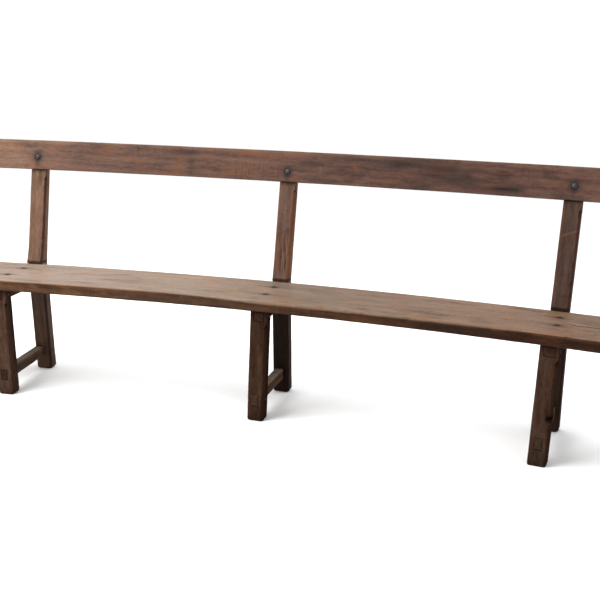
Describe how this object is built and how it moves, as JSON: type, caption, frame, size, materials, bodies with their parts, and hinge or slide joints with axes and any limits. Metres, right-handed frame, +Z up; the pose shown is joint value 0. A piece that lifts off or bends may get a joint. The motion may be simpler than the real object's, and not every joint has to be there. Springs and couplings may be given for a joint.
{
  "type": "curved church pew",
  "caption": "Church pew curved in plan: a long plank seat and a bolted plank back rail on splayed, chamfered trestle frames of mortised oak.",
  "frame": {"origin": "on the floor, below the middle of the pew's overall box", "axes": "+X along the pew to the sitter's left, which is the viewer's right from the front, +Y from the front of the seat to its back, +Z up"},
  "size_m": [2.7612, 0.5678, 0.9291],
  "materials": {
    "seat_board": "old oak seat, worn pale grey-tan on top with a dark oiled front edge",
    "rail_board": "old stained oak, red-brown and lighter towards the left end",
    "post_timber": "old stained oak, red-brown faces with rust-brown chamfers",
    "leg_timber": "dark old oak with worn corners",
    "bearer_timber": "dark dull oak",
    "stretcher_timber": "dark oak, worn pale grey on its upper face",
    "peg_wood": "dark end grain",
    "nail_iron": "dark rusted cut nail",
    "bolt_iron": "dark grey oxidised wrought iron"
  },
  "bodies": {
    "root": {"seat_plank": "seat_board", "back_rail": "rail_board", "left_rear_post": "post_timber", "left_front_leg": "leg_timber", "left_bearer": "bearer_timber", "left_stretcher": "stretcher_timber", "left_bearer_pegs": "peg_wood", "left_stretcher_pegs": "peg_wood", "left_seat_nails": "nail_iron", "left_carriage_bolt": "bolt_iron", "left_bolt_washer": "bolt_iron", "left_bolt_nut": "bolt_iron", "middle_rear_post": "post_timber", "middle_front_leg": "leg_timber", "middle_bearer": "bearer_timber", "middle_stretcher": "stretcher_timber", "middle_bearer_pegs": "peg_wood", "middle_stretcher_pegs": "peg_wood", "middle_seat_nails": "nail_iron", "middle_carriage_bolt": "bolt_iron", "middle_bolt_washer": "bolt_iron", "middle_bolt_nut": "bolt_iron", "right_rear_post": "post_timber", "right_front_leg": "leg_timber", "right_bearer": "bearer_timber", "right_stretcher": "stretcher_timber", "right_bearer_pegs": "peg_wood", "right_stretcher_pegs": "peg_wood", "right_seat_nails": "nail_iron", "right_carriage_bolt": "bolt_iron", "right_bolt_washer": "bolt_iron", "right_bolt_nut": "bolt_iron"}
  },
  "joints": []
}
